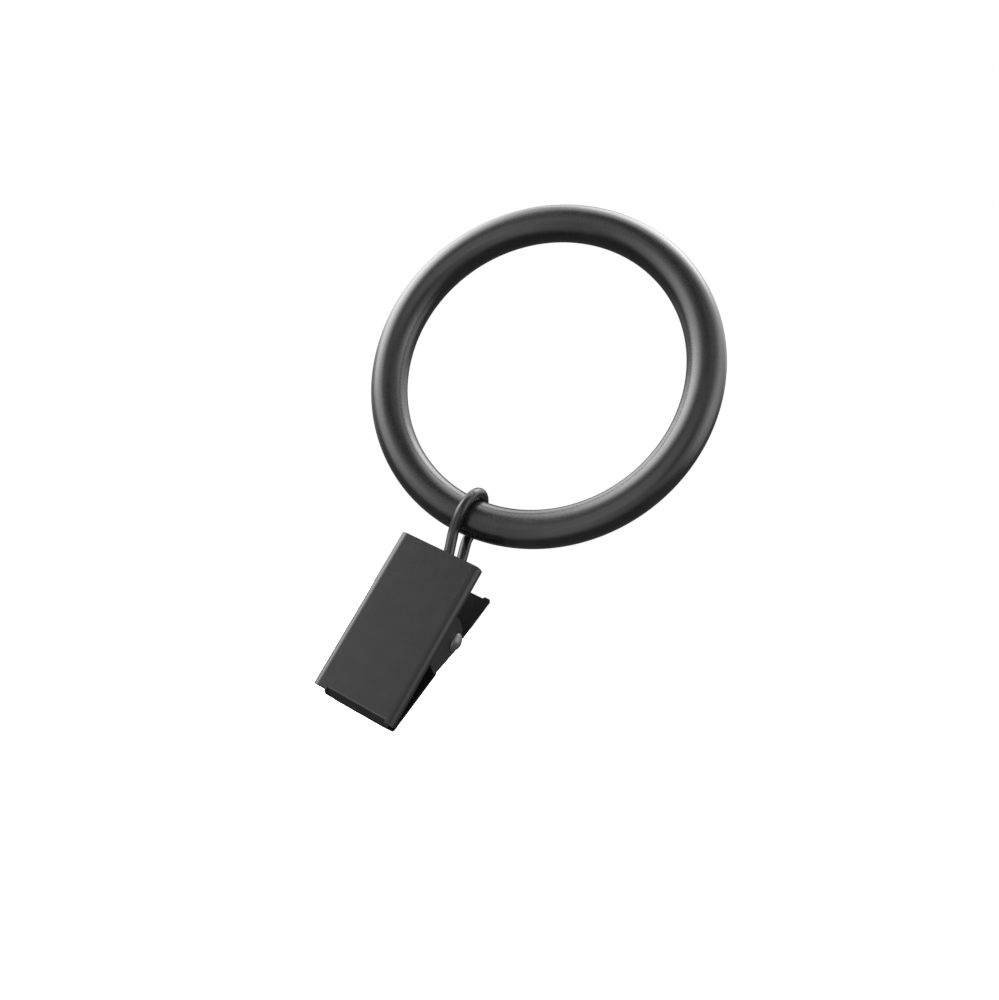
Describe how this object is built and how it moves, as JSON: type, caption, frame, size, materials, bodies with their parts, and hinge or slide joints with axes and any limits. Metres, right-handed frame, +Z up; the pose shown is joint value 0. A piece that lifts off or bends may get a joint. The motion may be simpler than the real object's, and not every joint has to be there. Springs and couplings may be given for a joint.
{
  "type": "curtain ring with clip",
  "caption": "Round metal curtain ring with a sprung sheet-metal clip hanging from it on a wire loop, in satin black; slides on a rod and grips the top of a curtain.",
  "frame": {"origin": "centre of the ring's hole, on the ring's axis", "axes": "+Y is the ring's axis, the way the rod runs, with the clip's front plate on the -Y side; +Z is up, the clip hangs towards -Z; +X completes the right-handed frame, along the hinge pin"},
  "size_m": [0.048, 0.0144, 0.0736],
  "materials": {
    "ring_coat": "satin black coat",
    "wire_coat": "satin black coat",
    "plate_coat": "satin black coat",
    "spring_steel": "drawn wire"
  },
  "bodies": {
    "ring": {"ring": "ring_coat"},
    "link": {"hanger_link": "wire_coat"},
    "front_jaw": {"front_plate": "plate_coat", "hinge_pin": "plate_coat", "torsion_spring": "spring_steel"},
    "back_jaw": {"back_plate": "plate_coat"}
  },
  "joints": [
    {"name": "link_swing", "type": "hinge", "parent": "ring", "child": "link", "pos_m": [0, 0, -0.0215], "axis": [1, 0, 0], "range_deg": [-115, 115]},
    {"name": "clip_swing", "type": "hinge", "parent": "link", "child": "front_jaw", "pos_m": [0.0002, -0.0004, -0.0367], "axis": [1, 0, 0], "range_deg": [0, 12]},
    {"name": "jaw_open", "type": "hinge", "parent": "front_jaw", "child": "back_jaw", "pos_m": [0.0002, -0.0004, -0.0367], "axis": [1, 0, 0], "range_deg": [0, 12], "stiffness_Nm_per_rad": 0.059, "springref_deg": -34.38, "deforming": ["torsion_spring"]}
  ]
}
